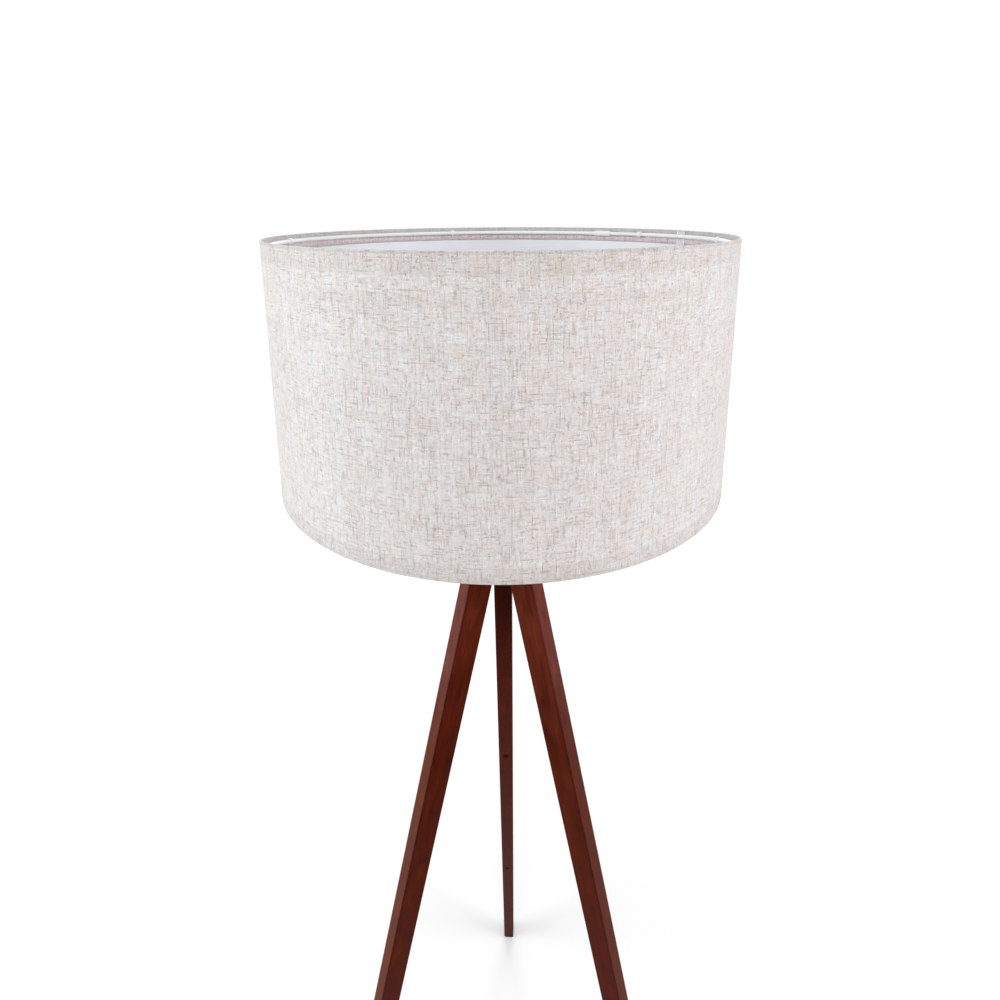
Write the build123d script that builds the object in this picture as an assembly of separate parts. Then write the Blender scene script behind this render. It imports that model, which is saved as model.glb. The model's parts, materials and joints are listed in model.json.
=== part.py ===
from build123d import *
import math
import os

# A tripod floor lamp: a tapered linen drum shade on three spread wooden legs.
# Millimetres and degrees, +Z up, origin on the lamp's axis at floor level.

# Fits shared by all pieces
RUNNING_FIT = 0.05  # radial gap of a pin or stud in its bore
THREAD_FIT = 0.1  # radial gap between mating threads, drawn as plain cylinders
SWING_GAP = 0.3  # between faces that pass each other as a leg folds
SEAT_GAP = 0.05  # between curved faces that lie against each other
GLUE_LINE = 0.4  # of adhesive under the shade's seam tape

# Legs: three sections end to end, leaning out from the hub
LEG_WIDTH = 20.0
LEG_DEPTH = 27.0
LEG_EDGE = 1.2
LEG_LEAN = 13.4
SECTION_LENGTH = 410.0
SECTION_NAMES = ("upper", "middle", "lower")
LEG_NAMES = ("back", "left", "right")
BACK_LEG_AZIMUTH = 90.0  # the others follow at equal angles

# Splices between leg sections: a steel stud locked by a recessed screw
STUD_DIAMETER = 8.0
STUD_LENGTH = 80.0
STUD_END_GAP = 1.0
LOCK_SCREW_DIAMETER = 8.0
LOCK_SCREW_DROP = 25.0  # below the splice, on the leg's inner face
LOCK_SCREW_RECESS = 3.0
LOCK_SCREW_KEY = 4.0  # across the flats of its hexagon socket
LOCK_SCREW_KEY_DEPTH = 3.5

# Foot pads
FOOT_PAD_THICKNESS = 4.0
FOOT_PAD_MARGIN = 1.5  # the pad stands back this far from the leg's sides
FOOT_PAD_CORNER = 3.0

# Leg pivots
PIVOT_BOLT_DIAMETER = 6.0
PIVOT_HEAD_DIAMETER = 11.0
PIVOT_HEAD_HEIGHT = 3.5
PIVOT_KEY = 4.0
PIVOT_KEY_DEPTH = 2.0
PIVOT_WASHER_DIAMETER = 13.0
PIVOT_WASHER_THICKNESS = 1.2
CAP_NUT_FLATS = 10.0
CAP_NUT_HEIGHT = 5.0
CAP_NUT_DOME = 3.5
BOLT_END_GAP = 1.0

# Hub: a flared disc with a central boss and three tongues that enter the leg slots
HUB_DIAMETER = 80.0
HUB_RIM = 5.0
HUB_CROWN = 7.0  # rise of the flare from the rim to the neck
HUB_EDGE = 2.0
HUB_COLLAR_DIAMETER = 27.0  # the flat that the neck stands on
BOSS_DIAMETER = 19.0
BOSS_LEG_GAP = 1.5  # between the boss and a leg that is folded upright
TONGUE_THICKNESS = 5.0
TONGUE_RADIUS = 9.0  # of the rounded end about the pivot

# Stem: a threaded tube through the hub, with the neck sleeve round it
STEM_DIAMETER = 10.0
STEM_BORE = 8.0
STEM_TAIL = 3.0  # shown below the lower nut
STEM_ENTRY = 9.0  # screwed into the lampholder's cap
STEM_NUT_FLATS = 14.0
STEM_NUT_HEIGHT = 5.0
STEM_WASHER_DIAMETER = 16.4
STEM_WASHER_THICKNESS = 1.2
NECK_LENGTH = 58.0
NECK_DIAMETER = 20.0
NECK_WALL = 1.3
BUSHING_FLANGE_DIAMETER = 13.0
BUSHING_FLANGE_THICKNESS = 2.0
BUSHING_SPIGOT = 10.0
BUSHING_WALL = 0.8

# Lampholder
HOLDER_DIAMETER = 40.0
HOLDER_WALL = 2.2
CAP_HEIGHT = 26.0
CAP_FOOT_DIAMETER = 25.0
CAP_DOME_HEIGHT = 10.0
CAP_BOSS_WALL = 3.0
SHELL_HEIGHT = 40.0
SEAT_HEIGHT = 24.5  # of the shade's seat above the shell's lower edge
SEAT_DIAMETER = 48.0
SEAT_THICKNESS = 4.0
HOLDER_THREAD_DEPTH = 0.5  # the threaded zone stands back this far
INSULATOR_THICKNESS = 12.0
INSULATOR_SINK = 5.0  # the part of it that sits in the cap
LEDGE_WIDTH = 2.2
SCREW_SHELL_HEIGHT = 22.0
SCREW_SHELL_WALL = 0.9
SCREW_SHELL_LIP = 4.0
CONTACT_WIDTH = 6.0
CONTACT_LENGTH = 9.0
CONTACT_THICKNESS = 0.8
CONTACT_RISE = 1.7
TERMINAL_SCREW_DIAMETER = 3.0
TERMINAL_HEAD_DIAMETER = 5.5
TERMINAL_HEAD_HEIGHT = 2.0
TERMINAL_SCREW_DEPTH = 8.0
TERMINAL_SPACING = 20.0
TERMINAL_SETBACK = 4.5

# Rotary switch in the lampholder's cap
SWITCH_HEIGHT = 15.5  # of the shaft above the cap's foot
SWITCH_SHAFT_DIAMETER = 4.0
SWITCH_BODY_WIDTH = 13.0
SWITCH_BODY_DEPTH = 10.0
SWITCH_BODY_BACK = 2.5  # from the lamp's axis to the body's rear
SWITCH_SHAFT_ENTRY = 6.0
KNOB_DIAMETER = 13.0
KNOB_LENGTH = 14.0
KNOB_GAP = 0.5
KNOB_EDGE = 1.0
KNOB_FLUTES = 12
KNOB_FLUTE_DIAMETER = 1.6

# Ring nut that clamps the shade on its seat
RING_NUT_DIAMETER = 56.0
RING_NUT_HEIGHT = 10.0
RING_NUT_WALL = 3.0
RING_NUT_FLANGE = 2.5
RING_NUT_RIBS = 24
RING_NUT_RIB_DIAMETER = 1.8

# Shade
SHADE_TOP_DIAMETER = 380.0
SHADE_BOTTOM_DIAMETER = 405.0
SHADE_HEIGHT = 209.0
FABRIC_THICKNESS = 0.6
LINING_POCKET = 0.5  # room for the lining between cover and hem
LINING_GAP = 0.1  # on each side of the lining in there
LINING_SEAM_GAP = 0.6  # between the ends of the rolled sheet
HEM_WIDTH = 13.0
SEAM_TAPE_WIDTH = 10.5
SEAM_TAPE_THICKNESS = 0.2
SEAM_TAPE_SETBACK = 1.0  # of its ends from the shade's edges
SEAM_TAPE_AZIMUTH = 25.5
RING_WIRE_DIAMETER = 3.5
RING_DROP = 5.3  # of a ring's centre from the shade's edge
FERRULE_DIAMETER = 5.4
FERRULE_LENGTH = 18.0
FERRULE_AZIMUTH = 56.0
CLIP_DIAMETER = 5.6
CLIP_LENGTH = 4.0
CLIP_AZIMUTHS = (4.3, 42.0, 109.0, 175.5, 242.0, 308.5)

# Spider that carries the shade: bottom ring, spokes and fitter ring
SPIDER_WIRE_DIAMETER = 4.0
SPIDER_RISE = 28.0  # of the fitter ring above the shade's lower edge
SPOKE_AZIMUTHS = (30.0, 150.0, 270.0)
FITTER_DIAMETER = 58.0
FITTER_THICKNESS = 2.0
FITTER_GAP = 0.3

# Bulb
BULB_CAP_DIAMETER = 26.4
BULB_CAP_LENGTH = 22.0
BULB_CAP_WALL = 0.8
BULB_TIP_DIAMETER = 9.5
BULB_TIP_HEIGHT = 2.0
BULB_GLASS_HEIGHT = 3.0
BULB_GLOBE_DIAMETER = 60.0
BULB_GLOBE_WALL = 1.2
BULB_NECK_HEIGHT = 47.0  # from the cap's rim to the globe's widest place
BULB_PLUG_LENGTH = 6.0
CONTACT_GAP = 0.1

# Heights and places that follow from the sizes above
LEG_STEP = 360 / len(LEG_NAMES)
LEG_AZIMUTHS = {name: BACK_LEG_AZIMUTH + LEG_STEP * n for n, name in enumerate(LEG_NAMES)}
SECTION_COUNT = len(SECTION_NAMES)
STOP_RISE = LEG_DEPTH / 2  # of the hub's underside above the pivots
REACH = SECTION_COUNT * SECTION_LENGTH - STOP_RISE  # from pivot to foot, along the leg
LEAN_SIN = math.sin(math.radians(LEG_LEAN))
LEAN_COS = math.cos(math.radians(LEG_LEAN))
PIVOT_RADIUS = BOSS_DIAMETER / 2 + BOSS_LEG_GAP + LEG_DEPTH / 2
PIVOT_Z = FOOT_PAD_THICKNESS + REACH * LEAN_COS
HUB_Z = PIVOT_Z + STOP_RISE
NECK_Z = HUB_Z + HUB_RIM + HUB_CROWN
CAP_Z = NECK_Z + NECK_LENGTH
SHELL_Z = CAP_Z + CAP_HEIGHT
SEAT_Z = SHELL_Z + SEAT_HEIGHT
BOSS_FOOT_Z = PIVOT_Z - TONGUE_RADIUS
INSULATOR_Z = SHELL_Z - INSULATOR_SINK
INSULATOR_TOP_Z = INSULATOR_Z + INSULATOR_THICKNESS
BULB_Z = INSULATOR_TOP_Z + CONTACT_THICKNESS + CONTACT_RISE + CONTACT_GAP
BULB_CAP_Z = BULB_Z + BULB_TIP_HEIGHT + BULB_GLASS_HEIGHT
BULB_RIM_Z = BULB_CAP_Z + BULB_CAP_LENGTH
SHADE_Z = SEAT_Z - SPIDER_RISE
HOLDER_RADIUS = HOLDER_DIAMETER / 2
HOLDER_BORE = HOLDER_RADIUS - HOLDER_WALL
THREAD_RADIUS = HOLDER_RADIUS - HOLDER_THREAD_DEPTH
SWITCH_Z = CAP_Z + SWITCH_HEIGHT


def turned(points):
    """A solid of revolution about the lamp's axis, from a closed outline of (radius, height) points."""
    outline = make_face(Polyline(*points, close=True))
    return revolve(Plane.XZ * outline, Axis.Z)


def tube(outer, inner, low, high):
    """A straight tube about the lamp's axis, from its two radii and two heights."""
    return turned([(inner, low), (outer, low), (outer, high), (inner, high)])


def hexagon(flats, low, high):
    """An upright hexagonal bar about the lamp's axis."""
    section = RegularPolygon(flats / 2, 6, major_radius=False)
    return Pos(0, 0, low) * extrude(section, high - low)


def across(radius, low, high):
    """A round bar along +Y through the origin, between two places on Y."""
    return Pos(0, (low + high) / 2, 0) * Rot(90, 0, 0) * Cylinder(radius, high - low)


def slab(x0, x1, y0, y1, z0, z1):
    """A block between two corners."""
    centre = Pos((x0 + x1) / 2, (y0 + y1) / 2, (z0 + z1) / 2)
    return centre * Box(x1 - x0, y1 - y0, z1 - z0)


def write(name, *solids):
    """One file for a node, of one solid or of several alike."""
    shape = solids[0] if len(solids) == 1 else Compound(children=list(solids))
    export_step(shape, os.path.join("parts", name + ".step"))


# A leg is drawn upright about its pivot, with +X pointing outwards, then leaned and put in place.
LEAN = Rot(0, -LEG_LEAN, 0)


def at_hub(azimuth):
    """The place of a leg's pivot at the hub."""
    return Rot(0, 0, azimuth) * Pos(PIVOT_RADIUS, 0, PIVOT_Z)


def leg_bar(low, high):
    """A length of the leg's section, with its long edges rounded."""
    section = RectangleRounded(LEG_DEPTH, LEG_WIDTH, LEG_EDGE)
    return Pos(0, 0, low) * extrude(section, high - low)


def tongue_slot():
    """The slot in a leg's top that the hub's tongue swings in."""
    half = TONGUE_THICKNESS / 2 + SWING_GAP
    floor = TONGUE_RADIUS + 2 * SWING_GAP
    above = slab(-LEG_DEPTH, floor, -half, half, 0, 2 * LEG_DEPTH)
    inside = slab(-LEG_DEPTH, 0, -half, half, -floor, 0)
    return above + inside + across(floor, -half, half)


def leg_top_waste():
    """What is cut off a leaning leg's top: flat against the hub outside the pivot, round inside it."""
    half = LEG_WIDTH
    over = slab(-3 * LEG_DEPTH, 3 * LEG_DEPTH, -half, half, STOP_RISE, 4 * LEG_DEPTH)
    corner = slab(-2 * LEG_DEPTH, 0, -half, half, 0, STOP_RISE)
    return over + (corner - across(STOP_RISE - SWING_GAP, -half, half))


def stud_bore(splice):
    """The bore for a stud about a splice, at a place along the leg."""
    depth = STUD_LENGTH / 2 + STUD_END_GAP
    return Pos(0, 0, splice) * Cylinder(STUD_DIAMETER / 2 + RUNNING_FIT, 2 * depth)


def lock_hole(splice):
    """The hole for a lock screw, from the leg's inner face to the stud bore."""
    radius = LOCK_SCREW_DIAMETER / 2 + RUNNING_FIT
    length = LEG_DEPTH / 2
    return Pos(-length / 2, 0, splice - LOCK_SCREW_DROP) * Rot(0, 90, 0) * Cylinder(radius, length)


def lock_screw(splice):
    """A headless screw with a hexagon socket, sunk below the leg's inner face."""
    tip = -(STUD_DIAMETER / 2 + SEAT_GAP)
    back = -(LEG_DEPTH / 2 - LOCK_SCREW_RECESS)
    height = Pos(0, 0, splice - LOCK_SCREW_DROP)
    body = Pos((tip + back) / 2, 0, 0) * Rot(0, 90, 0) * Cylinder(LOCK_SCREW_DIAMETER / 2, tip - back)
    key = extrude(RegularPolygon(LOCK_SCREW_KEY / 2, 6, major_radius=False), LOCK_SCREW_KEY_DEPTH)
    return height * (body - Pos(back, 0, 0) * Rot(0, 90, 0) * key)


def leg_sections():
    """The three sections of one leg, leaning, about its pivot."""
    top = STOP_RISE
    splices = [top - SECTION_LENGTH * n for n in range(1, SECTION_COUNT)]
    ends = [2 * LEG_DEPTH] + splices + [-REACH - LEG_DEPTH]
    floor = FOOT_PAD_THICKNESS - PIVOT_Z
    under = slab(-LEG_DEPTH, REACH, -LEG_WIDTH, LEG_WIDTH, floor - 4 * LEG_DEPTH, floor)
    sections = []
    for high, low in zip(ends, ends[1:]):
        bar = leg_bar(low, high)
        for splice in splices:
            if low <= splice <= high:
                bar -= stud_bore(splice)
            if low < splice - LOCK_SCREW_DROP < high:
                bar -= lock_hole(splice)
        sections.append(bar)
    sections[0] -= tongue_slot()
    sections[0] -= across(PIVOT_BOLT_DIAMETER / 2 + RUNNING_FIT, -LEG_WIDTH, LEG_WIDTH)
    sections = [LEAN * bar for bar in sections]
    sections[0] -= leg_top_waste()
    sections[-1] -= under
    studs = [LEAN * Pos(0, 0, s) * Cylinder(STUD_DIAMETER / 2, STUD_LENGTH) for s in splices]
    screws = [LEAN * lock_screw(s) for s in splices]
    return sections, studs, screws


def pivot_hardware():
    """Bolt, cap nut and washers of one pivot, along the pivot's own axis."""
    side = LEG_WIDTH / 2
    face = side + PIVOT_WASHER_THICKNESS
    shank_end = face + CAP_NUT_HEIGHT
    shank = PIVOT_BOLT_DIAMETER / 2
    head = fillet(
        across(PIVOT_HEAD_DIAMETER / 2, -face - PIVOT_HEAD_HEIGHT, -face).edges().sort_by(Axis.Y)[0],
        PIVOT_HEAD_HEIGHT / 2,
    )
    key = extrude(RegularPolygon(PIVOT_KEY / 2, 6, major_radius=False), PIVOT_KEY_DEPTH)
    socket = Pos(0, -face - PIVOT_HEAD_HEIGHT, 0) * Rot(-90, 0, 0) * key
    bolt = head + across(shank, -face, shank_end) - socket
    nut = extrude(RegularPolygon(CAP_NUT_FLATS / 2, 6, major_radius=False), CAP_NUT_HEIGHT)
    dome_radius = CAP_NUT_FLATS / 2 - BOLT_END_GAP / 2
    dome = extrude(Circle(dome_radius), CAP_NUT_DOME)
    dome = fillet(dome.edges().sort_by(Axis.Z)[-1], 0.9 * min(CAP_NUT_DOME, dome_radius))
    nut += Pos(0, 0, CAP_NUT_HEIGHT) * dome
    nut -= Pos(0, 0, CAP_NUT_HEIGHT / 2) * Cylinder(shank + RUNNING_FIT, CAP_NUT_HEIGHT + BOLT_END_GAP)
    nut = Pos(0, face, 0) * Rot(-90, 0, 0) * nut
    washers = [
        across(PIVOT_WASHER_DIAMETER / 2, low, high) - across(shank + RUNNING_FIT, low, high)
        for low, high in ((-face, -side), (side, face))
    ]
    return bolt, nut, washers


def foot_pad():
    """A rubber pad under a leg's flat-cut foot."""
    depth = LEG_DEPTH / LEAN_COS - 2 * FOOT_PAD_MARGIN
    width = LEG_WIDTH - 2 * FOOT_PAD_MARGIN
    pad = extrude(RectangleRounded(depth, width, FOOT_PAD_CORNER), FOOT_PAD_THICKNESS)
    return Pos(REACH * LEAN_SIN, 0, -PIVOT_Z) * pad


def tongue():
    """One tongue of the hub, about a leg's pivot, reaching in to the lamp's axis."""
    top = STOP_RISE + HUB_RIM / 2
    along = (top - TONGUE_RADIUS * LEAN_SIN) / LEAN_COS
    outline = Polyline(
        (-PIVOT_RADIUS, -TONGUE_RADIUS),
        (0, -TONGUE_RADIUS),
        (0, 0),
        (TONGUE_RADIUS * LEAN_COS, TONGUE_RADIUS * LEAN_SIN),
        (TONGUE_RADIUS * LEAN_COS - along * LEAN_SIN, top),
        (-PIVOT_RADIUS, top),
        close=True,
    )
    half = TONGUE_THICKNESS / 2
    plate = extrude(Plane.XZ * make_face(outline), half, both=True)
    plate += across(TONGUE_RADIUS, -half, half)
    return plate - across(PIVOT_BOLT_DIAMETER / 2 + RUNNING_FIT, -half, half)


def hub_disc():
    """The hub's disc, rounded at the rim and flaring up to the neck."""
    rim = HUB_DIAMETER / 2
    collar = HUB_COLLAR_DIAMETER / 2
    knee = HUB_Z + HUB_RIM
    shoulder = rim - HUB_EDGE
    bend = HUB_EDGE * (1 - math.sqrt(0.5))
    hollow = (collar + 0.3 * (shoulder - collar), knee + 0.25 * HUB_CROWN)
    outline = Polyline((shoulder, HUB_Z), (0, HUB_Z), (0, NECK_Z), (collar, NECK_Z))
    outline += ThreePointArc((collar, NECK_Z), hollow, (shoulder, knee))
    outline += ThreePointArc((shoulder, knee), (rim - bend, knee - bend), (rim, knee - HUB_EDGE))
    outline += Polyline((rim, knee - HUB_EDGE), (rim, HUB_Z), (shoulder, HUB_Z))
    return revolve(Plane.XZ * make_face(outline), Axis.Z)


def hub_casting():
    """Disc, boss and tongues in one casting, bored for the stem."""
    boss_height = HUB_Z - BOSS_FOOT_Z
    boss = Pos(0, 0, BOSS_FOOT_Z + boss_height / 2) * Cylinder(BOSS_DIAMETER / 2, boss_height)
    casting = hub_disc() + boss
    for azimuth in LEG_AZIMUTHS.values():
        casting += at_hub(azimuth) * tongue()
    bore = STEM_DIAMETER / 2 + THREAD_FIT
    middle = (BOSS_FOOT_Z + NECK_Z) / 2
    return casting - Pos(0, 0, middle) * Cylinder(bore, 2 * (NECK_Z - BOSS_FOOT_Z))


def write_legs():
    """Every piece of the three legs."""
    sections, studs, screws = leg_sections()
    bolt, nut, washers = pivot_hardware()
    pad = foot_pad()
    for side, azimuth in LEG_AZIMUTHS.items():
        place = at_hub(azimuth)
        for name, section in zip(SECTION_NAMES, sections):
            write(f"leg_{side}_{name}", place * section)
        write(f"leg_{side}_studs", *[place * stud for stud in studs])
        write(f"leg_{side}_lock_screws", *[place * screw for screw in screws])
        write(f"leg_{side}_pivot_bolt", place * bolt)
        write(f"leg_{side}_pivot_nut", place * nut)
        write(f"leg_{side}_pivot_washers", *[place * washer for washer in washers])
        write(f"leg_{side}_foot_pad", place * pad)


def write_neck():
    """Hub, stem and neck."""
    write("hub_casting", hub_casting())
    stem = STEM_DIAMETER / 2
    bore = stem + THREAD_FIT
    under = BOSS_FOOT_Z - STEM_WASHER_THICKNESS
    stem_foot = under - STEM_NUT_HEIGHT - STEM_TAIL
    write("stem_tube", tube(stem, STEM_BORE / 2, stem_foot, CAP_Z + STEM_ENTRY))
    washer_lows = (under, NECK_Z)
    nut_lows = (under - STEM_NUT_HEIGHT, NECK_Z + STEM_WASHER_THICKNESS)
    washer_radius = STEM_WASHER_DIAMETER / 2
    write("stem_washers", *[tube(washer_radius, bore, z, z + STEM_WASHER_THICKNESS) for z in washer_lows])
    hole = Cylinder(bore, 4 * (CAP_Z - stem_foot))
    blanks = [hexagon(STEM_NUT_FLATS, z, z + STEM_NUT_HEIGHT) for z in nut_lows]
    write("stem_nuts", *[blank - Pos(0, 0, NECK_Z) * hole for blank in blanks])
    write("neck_sleeve", tube(NECK_DIAMETER / 2, NECK_DIAMETER / 2 - NECK_WALL, NECK_Z, CAP_Z))
    spigot = STEM_BORE / 2 - RUNNING_FIT
    flange = BUSHING_FLANGE_DIAMETER / 2
    throat = spigot - BUSHING_WALL
    bushing = turned(
        [
            (throat, stem_foot - BUSHING_FLANGE_THICKNESS),
            (flange, stem_foot - BUSHING_FLANGE_THICKNESS),
            (flange, stem_foot),
            (spigot, stem_foot),
            (spigot, stem_foot + BUSHING_SPIGOT),
            (throat, stem_foot + BUSHING_SPIGOT),
        ]
    )
    write("cord_bushing", bushing)


def holder_cap():
    """The lampholder's domed cap, with a threaded boss for the stem and a ledge for the insulator."""
    bore = STEM_DIAMETER / 2 + THREAD_FIT
    foot = CAP_FOOT_DIAMETER / 2
    knee = (foot + 2 * HOLDER_RADIUS) / 3
    boss = bore + CAP_BOSS_WALL
    ledge = HOLDER_BORE - LEDGE_WIDTH
    dome_z = CAP_Z + CAP_DOME_HEIGHT
    cap = turned(
        [
            (bore, CAP_Z),
            (foot, CAP_Z),
            (knee, CAP_Z + 0.4 * CAP_DOME_HEIGHT),
            (HOLDER_RADIUS, dome_z),
            (HOLDER_RADIUS, SHELL_Z),
            (HOLDER_BORE, SHELL_Z),
            (HOLDER_BORE, INSULATOR_Z),
            (ledge, INSULATOR_Z),
            (ledge, dome_z),
            (foot - HOLDER_WALL, CAP_Z + HOLDER_WALL),
            (boss, CAP_Z + HOLDER_WALL),
            (boss, CAP_Z + STEM_ENTRY),
            (bore, CAP_Z + STEM_ENTRY),
        ]
    )
    shaft_hole = Pos(0, 0, SWITCH_Z) * across(
        SWITCH_SHAFT_DIAMETER / 2 + RUNNING_FIT, -2 * HOLDER_RADIUS, -SWITCH_BODY_BACK
    )
    return cap - shaft_hole


def switch_knob():
    """The switch's fluted knob with its shaft, along -Y."""
    near = -(HOLDER_RADIUS + KNOB_GAP)
    far = near - KNOB_LENGTH
    knob = across(KNOB_DIAMETER / 2, far, near)
    knob = fillet(knob.edges().filter_by(GeomType.CIRCLE), KNOB_EDGE)
    for n in range(KNOB_FLUTES):
        turn = Rot(0, 360 * n / KNOB_FLUTES, 0)
        knob -= turn * Pos(0, 0, KNOB_DIAMETER / 2) * across(KNOB_FLUTE_DIAMETER / 2, 2 * far, 0)
    shaft_end = -(SWITCH_BODY_BACK + SWITCH_BODY_DEPTH - SWITCH_SHAFT_ENTRY)
    knob += across(SWITCH_SHAFT_DIAMETER / 2, near - KNOB_LENGTH / 2, shaft_end)
    return Pos(0, 0, SWITCH_Z) * knob


def switch_body():
    """The switch's case, under the insulator, with a blind bore for the shaft."""
    half = SWITCH_BODY_WIDTH / 2
    rear = -SWITCH_BODY_BACK
    front = rear - SWITCH_BODY_DEPTH
    low = 2 * SWITCH_Z - INSULATOR_Z
    case = slab(-half, half, front, rear, low, INSULATOR_Z)
    bore_end = front + SWITCH_SHAFT_ENTRY + SWING_GAP
    return case - Pos(0, 0, SWITCH_Z) * across(SWITCH_SHAFT_DIAMETER / 2 + RUNNING_FIT, 2 * front, bore_end)


def holder_shell():
    """The lampholder's shell: plain below, a seat for the shade, threaded above it."""
    seat = SEAT_DIAMETER / 2
    top = SHELL_Z + SHELL_HEIGHT
    return turned(
        [
            (HOLDER_BORE, SHELL_Z),
            (HOLDER_RADIUS, SHELL_Z),
            (HOLDER_RADIUS, SEAT_Z - SEAT_THICKNESS),
            (seat, SEAT_Z - SEAT_THICKNESS),
            (seat, SEAT_Z),
            (THREAD_RADIUS, SEAT_Z),
            (THREAD_RADIUS, top),
            (HOLDER_BORE, top),
        ]
    )


def ring_nut():
    """The ribbed ring nut with a flange that presses the fitter ring on its seat."""
    low = SEAT_Z + FITTER_THICKNESS
    high = low + RING_NUT_HEIGHT
    bore = THREAD_RADIUS + THREAD_FIT
    body = bore + RING_NUT_WALL
    nut = turned(
        [
            (bore, low),
            (RING_NUT_DIAMETER / 2, low),
            (RING_NUT_DIAMETER / 2, low + RING_NUT_FLANGE),
            (body, low + RING_NUT_FLANGE),
            (body, high),
            (bore, high),
        ]
    )
    rib = Pos(body, 0, (low + high + RING_NUT_FLANGE) / 2)
    rib *= Cylinder(RING_NUT_RIB_DIAMETER / 2, RING_NUT_HEIGHT - RING_NUT_FLANGE)
    for n in range(RING_NUT_RIBS):
        nut += Rot(0, 0, 360 * n / RING_NUT_RIBS) * rib
    return nut


def write_lampholder():
    """Every piece of the lampholder."""
    write("holder_cap", holder_cap())
    write("holder_shell", holder_shell())
    write("ring_nut", ring_nut())
    write("switch_body", switch_body())
    write("switch_knob", switch_knob())
    places = [(side * TERMINAL_SPACING / 2, TERMINAL_SETBACK) for side in (-1, 1)]
    insulator = Pos(0, 0, (INSULATOR_Z + INSULATOR_TOP_Z) / 2)
    insulator *= Cylinder(HOLDER_BORE - THREAD_FIT, INSULATOR_THICKNESS)
    screws = []
    for x, y in places:
        shank = Pos(x, y, INSULATOR_Z + TERMINAL_SCREW_DEPTH / 2)
        insulator -= shank * Cylinder(TERMINAL_SCREW_DIAMETER / 2 + RUNNING_FIT, TERMINAL_SCREW_DEPTH)
        head = Pos(x, y, INSULATOR_Z - TERMINAL_HEAD_HEIGHT / 2)
        screw = head * Cylinder(TERMINAL_HEAD_DIAMETER / 2, TERMINAL_HEAD_HEIGHT)
        screws.append(screw + shank * Cylinder(TERMINAL_SCREW_DIAMETER / 2, TERMINAL_SCREW_DEPTH))
    write("holder_insulator", insulator)
    write("terminal_screws", *screws)
    bore = BULB_CAP_DIAMETER / 2 + THREAD_FIT
    wall = bore + SCREW_SHELL_WALL
    lip = bore - SCREW_SHELL_LIP
    floor = INSULATOR_TOP_Z + SCREW_SHELL_WALL
    screw_shell = turned(
        [
            (lip, INSULATOR_TOP_Z),
            (wall, INSULATOR_TOP_Z),
            (wall, INSULATOR_TOP_Z + SCREW_SHELL_HEIGHT),
            (bore, INSULATOR_TOP_Z + SCREW_SHELL_HEIGHT),
            (bore, floor),
            (lip, floor),
        ]
    )
    write("screw_shell", screw_shell)
    half = CONTACT_WIDTH / 2
    plate_top = INSULATOR_TOP_Z + CONTACT_THICKNESS
    contact = slab(-half, half, -CONTACT_LENGTH / 2, CONTACT_LENGTH / 2, INSULATOR_TOP_Z, plate_top)
    contact += Pos(0, 0, plate_top + CONTACT_RISE / 2) * Cylinder(half, CONTACT_RISE)
    write("centre_contact", contact)


def globe_outline(inset):
    """Half of the bulb's outline above its cap's rim, drawn in by a wall's thickness."""
    radius = BULB_GLOBE_DIAMETER / 2 - inset
    neck = BULB_CAP_DIAMETER / 2 - inset
    belly = Spline(
        (neck, 0),
        ((3 * neck + radius) / 4, 0.33 * BULB_NECK_HEIGHT),
        (radius, BULB_NECK_HEIGHT),
        tangents=[(0, 1), (0, 1)],
    )
    slant = radius * math.sqrt(0.5)
    top = BULB_NECK_HEIGHT + radius
    crown = ThreePointArc((radius, BULB_NECK_HEIGHT), (slant, BULB_NECK_HEIGHT + slant), (0, top))
    back = Polyline((0, top), (0, 0), (neck, 0))
    return revolve(Plane.XZ * make_face(belly + crown + back), Axis.Z)


def write_bulb():
    """The bulb, from its tip contact to its globe."""
    cap = BULB_CAP_DIAMETER / 2
    mouth = cap - BULB_CAP_WALL
    tip = BULB_TIP_DIAMETER / 2
    glass_z = BULB_Z + BULB_TIP_HEIGHT
    contact = Pos(0, 0, BULB_Z + BULB_TIP_HEIGHT / 2) * Cylinder(tip, BULB_TIP_HEIGHT)
    write("bulb_tip", fillet(contact.edges().sort_by(Axis.Z)[0], BULB_TIP_HEIGHT / 2))
    write("bulb_insulator", turned([(0, glass_z), (tip, glass_z), (mouth, BULB_CAP_Z), (0, BULB_CAP_Z)]))
    floor = BULB_CAP_Z + BULB_CAP_WALL
    screw_cap = turned(
        [
            (0, BULB_CAP_Z),
            (cap, BULB_CAP_Z),
            (cap, BULB_RIM_Z),
            (mouth, BULB_RIM_Z),
            (mouth, floor),
            (0, floor),
        ]
    )
    write("bulb_cap", screw_cap)
    plug = mouth - THREAD_FIT
    throat = plug - BULB_GLOBE_WALL
    globe = globe_outline(0) - globe_outline(BULB_GLOBE_WALL)
    globe = Pos(0, 0, BULB_RIM_Z) * globe
    globe += tube(plug, throat, BULB_RIM_Z - BULB_PLUG_LENGTH, BULB_RIM_Z)
    globe += tube(cap, throat, BULB_RIM_Z, BULB_RIM_Z + BULB_GLOBE_WALL)
    write("bulb_globe", globe)


# The shade's wall is drawn in two directions: up along the slanted wall, and in from its outer face.
SHADE_TOP_RADIUS = SHADE_TOP_DIAMETER / 2
SHADE_BOTTOM_RADIUS = SHADE_BOTTOM_DIAMETER / 2
SLANT = math.hypot(SHADE_BOTTOM_RADIUS - SHADE_TOP_RADIUS, SHADE_HEIGHT)
UP_R = (SHADE_TOP_RADIUS - SHADE_BOTTOM_RADIUS) / SLANT
UP_Z = SHADE_HEIGHT / SLANT
WALL_FACE = 2 * FABRIC_THICKNESS + LINING_POCKET  # depth of the hem's inner face
TAPE_FACE = WALL_FACE + GLUE_LINE + SEAM_TAPE_THICKNESS  # depth of the seam tape's inner face there


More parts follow.
